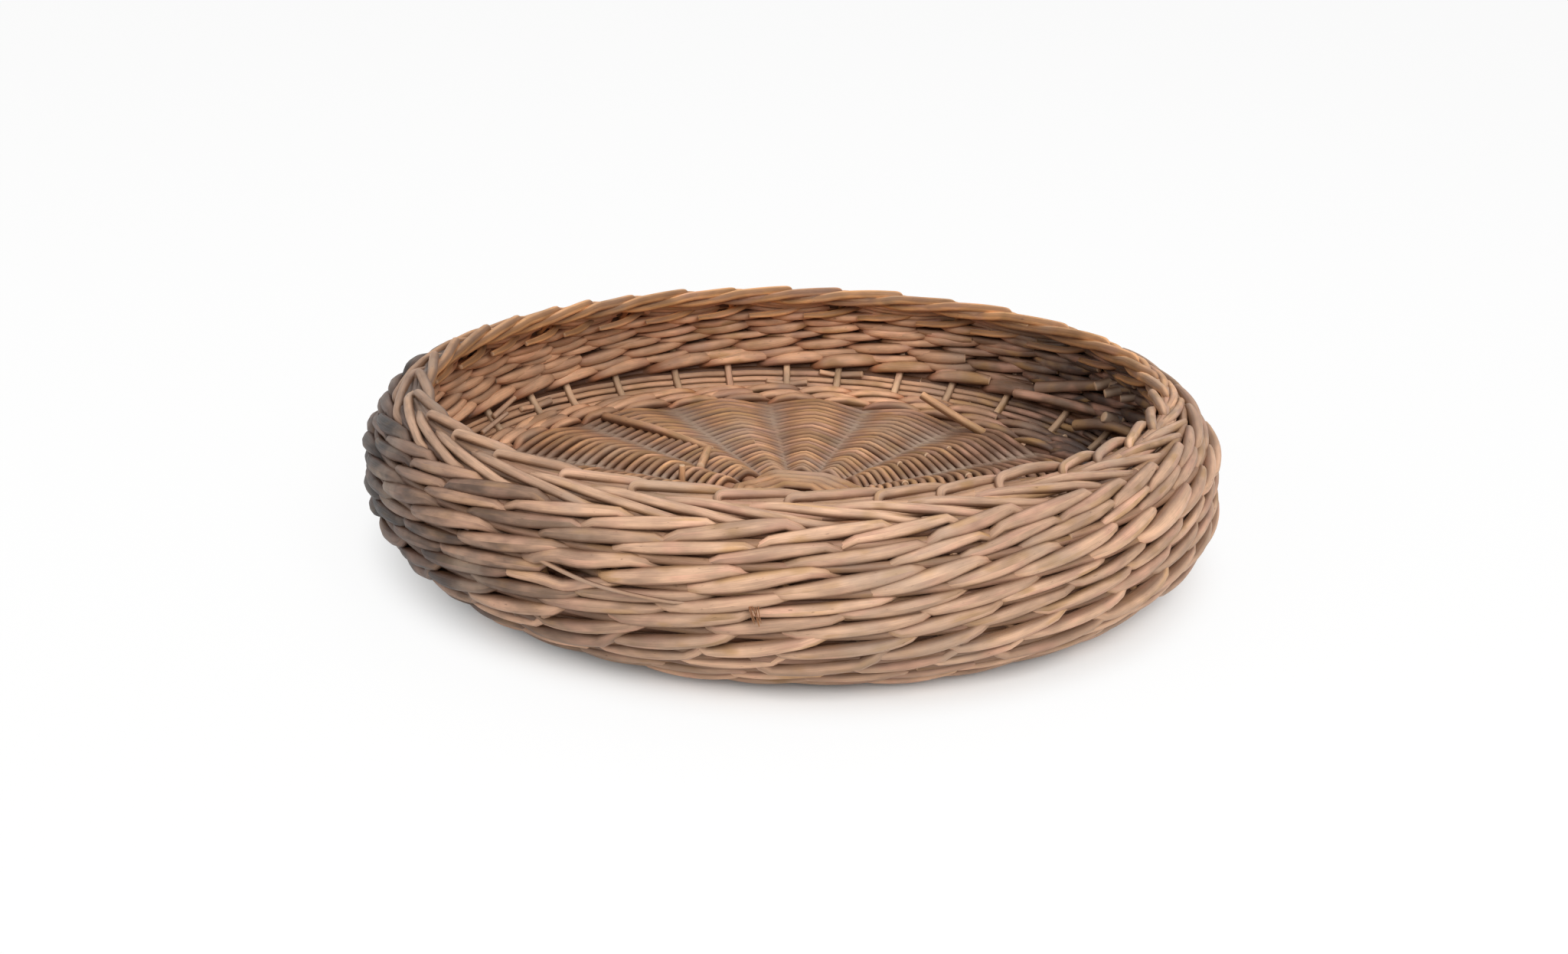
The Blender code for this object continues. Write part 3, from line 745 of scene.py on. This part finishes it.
class BASKET_OT_wall(PieceOperator, bpy.types.Operator):
    """Add the wall: wales of three rods, each in front of two stakes and behind one"""

    bl_idname = "basket.wall"
    bl_label = "Wall"

    def build(self, sizes, colours):
        # Bleached outside and red brown inside, grey and darkened by painted shade at the left, and darkened
        # inside at the right by painted shade, partly stain
        material = willow(
            "waled willow, weathered", colours, (colours.outside, colours.outside_worn_and_lit),
            (colours.inside, colours.inside_worn_and_lit), sides=(0.9, 1.0, 1.0, 0.0), rod_range=(0.76, 1.15)
        )
        generator = np.random.default_rng(sizes.seed + 4)
        for number, (nodes, *measures) in enumerate(WALES):
            rods = Rods(WALL_SIDES)
            seed = int(generator.integers(1 << 30))
            # The wales don't start above each other
            shift = (-0.2, 0.12, 0.3)[number % 3] + generator.uniform(-0.05, 0.05)
            for strand in range(STROKE):
                start = int(generator.integers(0, 5)) * STROKE
                first = start
                while first < start + sizes.stakes:
                    last = min(first + STROKE * int(generator.integers(6, 10)), start + sizes.stakes)
                    if start + sizes.stakes - last < 2 * STROKE:
                        last = start + sizes.stakes
                    self.add_stroke_rod(sizes, rods, generator, seed, measures, shift, strand, first, last)
                    first = last
            finish(rods.piece(f"wale_{number + 1:02d}", material), nodes)
        rods = Rods(WALL_SIDES)
        for row, middle in enumerate(LADDER_ROWS):
            self.add_band_rod(
                sizes, rods, generator, 4.0 + 5 * row, middle, out=1.8, thick=3.6, face=-0.75, deep=0.2,
                tuck=3.5
            )
        finish(rods.piece("ladder_rods", material), [LADDER_NODE])
        rods = Rods(8)
        packing = [(*place, face, deep) for face, deep, places in PACKING_RODS for place in places]
        for row, measures in enumerate(packing):
            self.add_band_rod(sizes, rods, generator, 2.0 + 7 * row, *measures)
        for row, (middle, thick) in enumerate(TOP_RODS):
            self.add_band_rod(
                sizes, rods, generator, 5.0 + 7 * row, middle, out=-1.0, thick=thick, face=-0.85, deep=0.1,
                tuck=1.0, sway=1.8
            )
        finish(rods.piece("packing_rods", material), [])

    def add_band_rod(
        self, sizes, rods, generator, first, middle, out, thick, face, deep, tuck=0.0, sway=0.0
    ):
        """Three rods laid end to end round the wall. Middle, out, thick, tuck and sway are in millimetres.

        Tuck is how far their ends are tucked in, and sway how far they weave in and out of the stakes.
        """
        for last in (first + 13, first + 25, first + 36):
            place = np.arange(first - 0.4, last + 0.4, 1 / POINTS_PER_STAKE)
            ends = np.clip(1 - np.minimum(place - place[0], place[-1] - place) / 0.5, 0, 1)
            offset = out + 0.3 * np.cos(math.tau * place) + sway * np.cos(math.pi * place) - tuck * ends
            length = middle * MILLIMETRE + wander(generator, place / sizes.stakes, 0.0005)
            angle = stake_angle(sizes, place)
            worn = np.abs(worn_share(angle, length, 1.5))
            points, way = on_wall(sizes, angle, length, (offset - 7 * worn) * MILLIMETRE)
            radius = thick / 2 * MILLIMETRE * np.linspace(1.1, 0.88, len(place))
            # Shade is painted on the rods at the worn hole, and on the inner side of those given much painted
            # shade
            rods.add(points, way, radius, generator.uniform(0, 1), face=face, span=0.25, dust=0.1,
                     deep=np.maximum(deep, worn), dark_inside=0.95 * (deep > 0.5))
            first = last

    def add_stroke_rod(self, sizes, rods, generator, seed, measures, shift, strand, first, last):
        """One rod of a wale, from its butt inside one stake to its tip inside another."""
        outer, inner, thick, inner_thick = (measure * MILLIMETRE for measure in measures)
        place = np.arange(first + 2 - 0.5, last + 2 + 0.55, 1 / POINTS_PER_STAKE)
        share = (place - place[0]) / (place[-1] - place[0])
        beat = math.tau * (place - 0.5) / STROKE
        # Next to the ladder band a rod moves up or down while it is still outside
        to_ladder = np.abs(np.array(LADDER_ROWS) * MILLIMETRE - inner).min()
        early = 0.55 if to_ladder < 0.008 else 0.25
        inside = np.clip((early - np.cos(beat)) / 0.7, 0, 1)
        inside = inside ** 2 * (3 - 2 * inside)
        # Rods press flat against their neighbours, so a stroke is widest in its middle and tapers to its ends
        thickness = (thick + (inner_thick - thick) * inside) * np.exp(generator.normal(0, 0.07))
        turned = np.degrees(np.mod(beat + math.pi, math.tau) - math.pi)
        shape_turns, *shape = np.array(STROKE_SHAPE).T
        reached, climbed, wide = (np.interp(np.abs(turned), shape_turns, column) for column in shape)
        radius = thickness / 2 * (1.08 - 0.16 * share) * wide
        # Long outside over two stakes, close round the one stake inside, with a steady climb
        out = (sizes.stake_thickness + thickness) / 2 * reached
        climb = np.sign(turned) * thickness * climbed
        # At a join the new rod's butt lies below the old rod's tip, and both point in
        join = 0.9
        start_part = np.clip(1 - (place - place[0]) / join, 0, 1)
        end_part = np.clip(1 - (place[-1] - place) / join, 0, 1)
        climb = climb - start_part * thickness * 0.3 + end_part * thickness * 0.3
        out = out - start_part ** 2 * generator.uniform(0.001, 0.005) - end_part ** 2 * 0.0012
        real_place = place + strand + shift + wander(generator, place / 9, 0.05)
        turns = real_place / sizes.stakes
        drift = wander(np.random.default_rng(seed), turns, 0.0006) + wander(generator, place / 9, 0.00025)
        angle = stake_angle(sizes, real_place)
        middle = outer + (inner - outer) * inside + climb + drift
        # The worn hole pushes the rods above it up and those below it down
        middle = middle + 0.0034 * worn_share(angle, middle)
        points, way = on_wall(sizes, angle, middle, out)
        # The floor presses the foot flat
        points[:, 2] = np.maximum(points[:, 2], radius + 0.0002)
        half = sizes.stake_thickness / 2 + thickness
        rods.add(points, way, radius, generator.uniform(0, 1), face=out / half, span=radius / half, flat=0.88)


# Rods that are broken, loose or stand proud, as photographed: points and thickness at each end in
# millimetres, tone, how far each faces out, and its dust
LOOSE_RODS = (
    ("stub_on_base", ((99.3, 111.8, 13.5), (83, 117, 21), (65.7, 122.5, 30)), 4.8, 4.4, 0.9, 0.8, 0.1),
    ("peg_on_base", ((-56.5, 24.0, 12.0), (-56.5, 24.2, 21.0)), 3.6, 3.4, 1.0, 0.9, 0.0),
    ("stub_by_slath", ((-45.8, 65.5, 15.0), (-48.2, 39.3, 15.4)), 5.0, 4.6, 0.8, 0.6, 0.3),
    ("rod_over_rib", ((-104.1, 116.0, 13.2), (-74, 91, 15.6), (-44.2, 65.7, 15.0)), 5.4, 4.0, 0.7, 0.5, 0.3),
)
# The same on the wall: angle in degrees, length up and offset out in millimetres
LOOSE_WALL_RODS = (
    ("thin_rod_outside", (
        (-122, 58.5, 4.0), (-117.5, 56.5, 8.0), (-111.3, 53.5, 9.6), (-102.9, 51.1, 7.6), (-101, 50.5, 4)
    ), 2.0, 1.5, 0.0, 0.3, 0.6),
    ("dark_rod_upper", (
        (46.2, 43.0, -10.5), (40, 50, -9.2), (33.0, 58.5, -7.0), (30, 61, -4)
    ), 6.8, 5.6, 0.1, -0.7, 0.2),
    ("dark_rod_middle", (
        (49.8, 29.0, -9.6), (44, 31.5, -9.4), (37.2, 35.0, -7.4), (34, 37, -4)
    ), 5.8, 5.0, 0.5, -0.7, 0.0),
    ("dark_rod_lower", (
        (35.5, 23.0, -6.0), (31, 28, -9.0), (25.8, 33.5, -8.4), (23, 35, -5)
    ), 6.2, 5.4, 0.4, -0.7, 0.1),
    ("grey_stub_right", ((28.2, 36.5, -3.0), (28.8, 36.0, -14.0)), 6.8, 6.2, 0.6, -0.4, 0.9),
    ("grey_stub_upper", ((31.5, 62.0, -3.0), (32.6, 62.4, -13.0)), 5.6, 5.2, 0.9, -0.4, 1.0),
    ("grey_stub_top", ((28.6, 59.0, -3.0), (29.8, 59.8, -13.5)), 5.4, 5.0, 0.8, -0.4, 0.9),
    ("grey_stub_low", ((25.4, 58.0, -3.0), (26.6, 58.4, -10.5)), 4.2, 4.0, 0.8, -0.4, 0.9),
    ("splinter_left", ((152, 24, -4), (147, 29, -9)), 3.4, 2.6, 0.7, -0.5, 0.6),
    ("splinter_left_low", ((157, 18, -4), (151, 20, -10)), 3.0, 2.2, 0.9, -0.5, 0.7),
)
# The frayed tuft on the front: its angle in degrees, its length up in millimetres and its count of fibres
TUFT = (-94.2, 53.0, 7)


class BASKET_OT_loose_rods(PieceOperator, bpy.types.Operator):
    """Add the broken and loose rods, and the frayed tuft on the front"""

    bl_idname = "basket.loose_rods"
    bl_label = "Loose rods"

    def build(self, sizes, colours):
        # The base's golden brown, pale where the rods are broken off
        material = willow(
            "broken willow", colours, (colours.base, colours.base_worn_and_lit),
            (colours.inside, colours.inside_worn_and_lit), sides=(0.0, 0.0, 0.8, 0.0)
        )
        for name, knots, *looks in LOOSE_RODS:
            way = np.tile([0.1, -0.3, 1.0], (len(knots), 1))
            self.add_loose(name, material, np.array(knots) * MILLIMETRE, way, *looks)
        for name, knots, *looks in LOOSE_WALL_RODS:
            degrees, length, out = np.array(knots, float).T
            points, way = on_wall(sizes, np.radians(degrees), length * MILLIMETRE, out * MILLIMETRE)
            self.add_loose(name, material, points, way, *looks)
        rods = Rods(5)
        generator = np.random.default_rng(sizes.seed + 5)
        degrees, length, count = TUFT
        for fibre in range(count):
            root = degrees + generator.uniform(-0.7, 0.7)
            angle = np.radians(root + np.array([0, 0.5, 1.3]) * generator.uniform(0.4, 1))
            fall = length - np.array([0, 2.4, 6.0]) * generator.uniform(0.7, 1.2)
            points, way = on_wall(sizes, angle, fall * MILLIMETRE, np.array([5.5, 9.0, 10.5]) * MILLIMETRE)
            path, carried = smooth_path(points, 0.0012, way)
            rods.add(path, carried, np.linspace(0.00035, 0.00015, len(path)), 0.2, face=0.4, span=0.2)
        finish(rods.piece("frayed_tuft", material), [])

    def add_loose(self, name, material, knots, way, butt, tip, tone, face, dust):
        """One rod as a piece of its own, whose thickness goes from butt to tip in millimetres."""
        path, carried = smooth_path(knots, 0.0025, way)
        rods = Rods(12)
        radius = np.linspace(butt, tip, len(path)) / 2 * MILLIMETRE
        rods.add(path, carried, radius, tone, face=face, span=0.35, dust=dust)
        finish(rods.piece(name, material), [])


class BASKET_OT_stage(bpy.types.Operator):
    """Add the floor, the soft lights and the camera at the photographed angle"""

    bl_idname = "basket.stage"
    bl_label = "Floor, light and camera"

    def execute(self, context):
        colours = context.scene.basket_colours
        bpy.ops.mesh.primitive_plane_add(size=12)
        floor = context.object
        floor.name = "floor"
        material = bpy.data.materials.new("plain pale floor")
        material.use_nodes = True
        tree = material.node_tree
        shader = tree.nodes["Principled BSDF"]
        shader.inputs["Base Color"].default_value = opaque(colours.floor)
        shader.inputs["Roughness"].default_value = 0.9
        # The eye sees the floor nearly white with a faint shadow on it, and in full shade under the basket,
        # as far as 160 mm from its middle
        place = add_node(tree, "ShaderNodeTexCoord").outputs["Object"]
        away = add_node(tree, "ShaderNodeVectorMath", {0: place}, operation="LENGTH").outputs["Value"]
        share = smooth_step(tree, away, 0.160, 0.210, 0.0, 0.92)
        self.whiten(tree, shader.outputs["BSDF"], share)
        floor.data.materials.append(material)
        # Places and sizes in metres, power in watts
        self.add_light(context, "key", (0.55, -1.2, 1.15), 0.9, 18.5)
        self.add_light(context, "fill", (-1.3, -0.8, 0.9), 1.0, 8)
        self.add_light(context, "top", (0.2, 0.5, 1.6), 1.2, 7)
        world = bpy.data.worlds.new("studio")
        world.use_nodes = True
        background = world.node_tree.nodes["Background"]
        background.inputs["Color"].default_value = (1, 1, 1, 1)
        background.inputs["Strength"].default_value = 0.38
        self.whiten(world.node_tree, background.outputs["Background"], 1.0)
        context.scene.world = world
        context.scene.view_settings.view_transform = "Standard"
        self.add_camera(context)
        return {"FINISHED"}

    def whiten(self, tree, shader, share):
        """Shows a share of plain white in place of a shader, but only to the eye and in reflections."""
        path = add_node(tree, "ShaderNodeLightPath").outputs
        seen = path["Is Camera Ray"]
        for kind in ("Is Glossy Ray", "Is Transmission Ray"):
            seen = add_node(tree, "ShaderNodeMath", {0: seen, 1: path[kind]}, operation="MAXIMUM").outputs[0]
        seen = add_node(tree, "ShaderNodeMath", {0: seen, 1: share}, operation="MULTIPLY").outputs[0]
        white = add_node(tree, "ShaderNodeEmission", {"Color": (1, 1, 1, 1), "Strength": 1.0})
        mix = add_node(tree, "ShaderNodeMixShader", {0: seen, 1: shader, 2: white.outputs["Emission"]})
        output = next(node for node in tree.nodes if node.type in ("OUTPUT_MATERIAL", "OUTPUT_WORLD"))
        tree.links.new(mix.outputs["Shader"], output.inputs["Surface"])

    def add_light(self, context, name, place, size, power):
        bpy.ops.object.light_add(type="AREA", location=place)
        lamp = context.object
        lamp.name = name
        lamp.data.size = size
        lamp.data.energy = power
        lamp.rotation_euler = (-lamp.location).to_track_quat("-Z", "Y").to_euler()

    def add_camera(self, context):
        """The photograph's view: its height angle, distance, roll, focal length and centre in pixels."""
        height, distance, roll = math.radians(22.1), 0.9523, 0.037
        focal_px, centre_x, centre_y, width, rows = 2562.5, 1037.8, 689.5, 2048, 1246
        right = np.array([1.0, 0, 0])
        back = np.array([0, -math.cos(height), math.sin(height)])
        up = np.cross(back, right)
        rolled_right = math.cos(roll) * right + math.sin(roll) * up
        rolled_up = -math.sin(roll) * right + math.cos(roll) * up
        data = bpy.data.cameras.new("camera")
        camera = bpy.data.objects.new("camera", data)
        context.scene.collection.objects.link(camera)
        columns = (rolled_right, rolled_up, back, back * distance)
        camera.matrix_world = Matrix([*np.column_stack(columns).tolist(), (0, 0, 0, 1)])
        data.sensor_width = 36
        data.lens = focal_px / width * data.sensor_width
        data.shift_x = (width / 2 - centre_x) / width
        data.shift_y = (centre_y - rows / 2) / width
        context.scene.camera = camera


class BASKET_PT_panel(bpy.types.Panel):
    """The basket's pieces in the sidebar"""

    bl_label = "Wicker basket"
    bl_idname = "BASKET_PT_panel"
    bl_space_type = "VIEW_3D"
    bl_region_type = "UI"
    bl_category = "Basket"

    def draw(self, context):
        for operator in OPERATORS:
            self.layout.operator(operator.bl_idname)
        for group in (context.scene.basket_sizes, context.scene.basket_colours):
            box = self.layout.box()
            for name in group.bl_rna.properties.keys():
                if name not in ("rna_type", "name"):
                    box.prop(group, name)


OPERATORS = (
    BASKET_OT_sticks, BASKET_OT_base_weave, BASKET_OT_stakes, BASKET_OT_wall, BASKET_OT_loose_rods,
    BASKET_OT_stage,
)
CLASSES = (BasketSizes, BasketColours, *OPERATORS, BASKET_PT_panel)


def register():
    for item in CLASSES:
        bpy.utils.register_class(item)
    bpy.types.Scene.basket_sizes = PointerProperty(type=BasketSizes)
    bpy.types.Scene.basket_colours = PointerProperty(type=BasketColours)


def unregister():
    del bpy.types.Scene.basket_colours
    del bpy.types.Scene.basket_sizes
    for item in reversed(CLASSES):
        bpy.utils.unregister_class(item)


def main():
    register()
    for operator in OPERATORS:
        group, name = operator.bl_idname.split(".")
        getattr(getattr(bpy.ops, group), name)()


if __name__ == "__main__":
    main()
